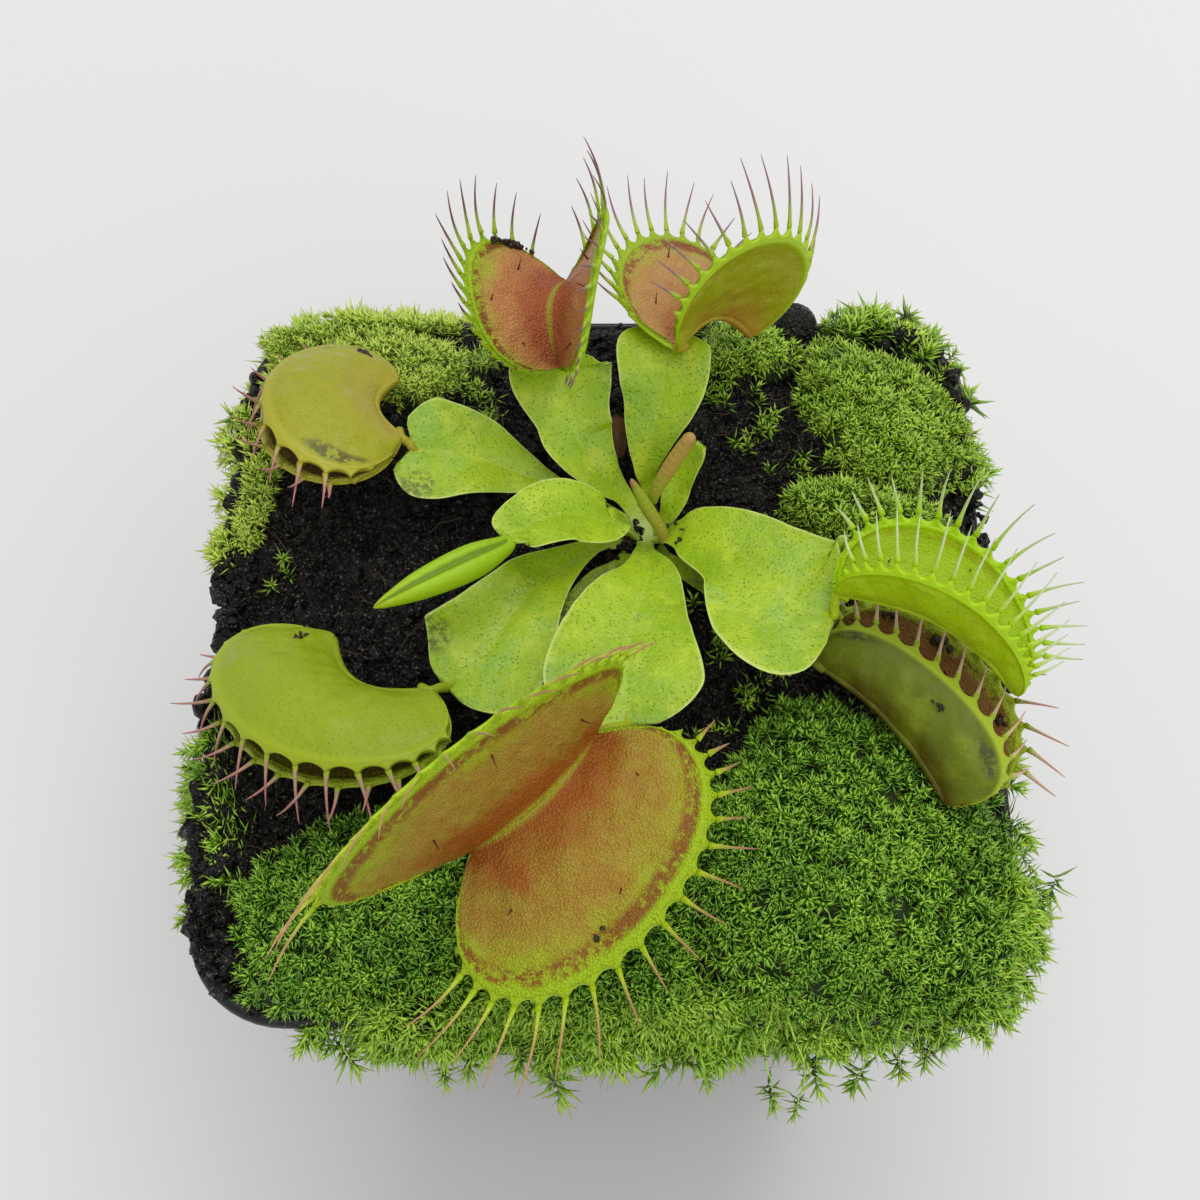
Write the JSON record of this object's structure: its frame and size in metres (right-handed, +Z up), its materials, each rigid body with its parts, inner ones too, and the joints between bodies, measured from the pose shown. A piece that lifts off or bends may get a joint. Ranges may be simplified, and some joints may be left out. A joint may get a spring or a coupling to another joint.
{
  "type": "potted venus flytrap",
  "caption": "Small carnivorous plant with winged leaf stalks and toothed two-lobed traps, growing from mossy peat in a square tapered nursery pot.",
  "frame": {"origin": "middle of the pot's underside, on the surface that the pot stands on", "axes": "+Z up out of the pot, -Y towards the front side of the pot, +X to the right seen from the front"},
  "size_m": [0.0861, 0.092, 0.1093],
  "materials": {
    "pot": "satin",
    "peat": "matte",
    "rhizome": "satin",
    "leaf_stalk": "satin",
    "trap": "satin",
    "new_growth": "satin",
    "dry_scale": "matte",
    "moss": "matte"
  },
  "bodies": {
    "root": {"pot": "pot", "peat": "peat", "rhizome": "rhizome", "petiole_back_left": "leaf_stalk", "petiole_back": "leaf_stalk", "petiole_left": "leaf_stalk", "petiole_young": "leaf_stalk", "petiole_front_left": "leaf_stalk", "petiole_old": "leaf_stalk", "petiole_front": "leaf_stalk", "petiole_right": "leaf_stalk", "petiole_right_low": "leaf_stalk", "petiole_new": "leaf_stalk", "trap_front": "trap", "trap_back_left": "trap", "trap_back": "trap", "trap_left": "trap", "trap_front_left": "trap", "trap_right_open": "trap", "trap_right_closing": "trap", "trap_young": "trap", "trap_new": "new_growth", "shoot_new": "new_growth", "leaf_scale": "dry_scale", "moss_back_left": "moss", "moss_left": "moss", "moss_back_middle": "moss", "moss_back_right": "moss", "moss_middle_right": "moss", "moss_front_right": "moss", "moss_front_left": "moss", "moss_front_middle": "moss", "peat_lump": "peat"}
  },
  "joints": []
}
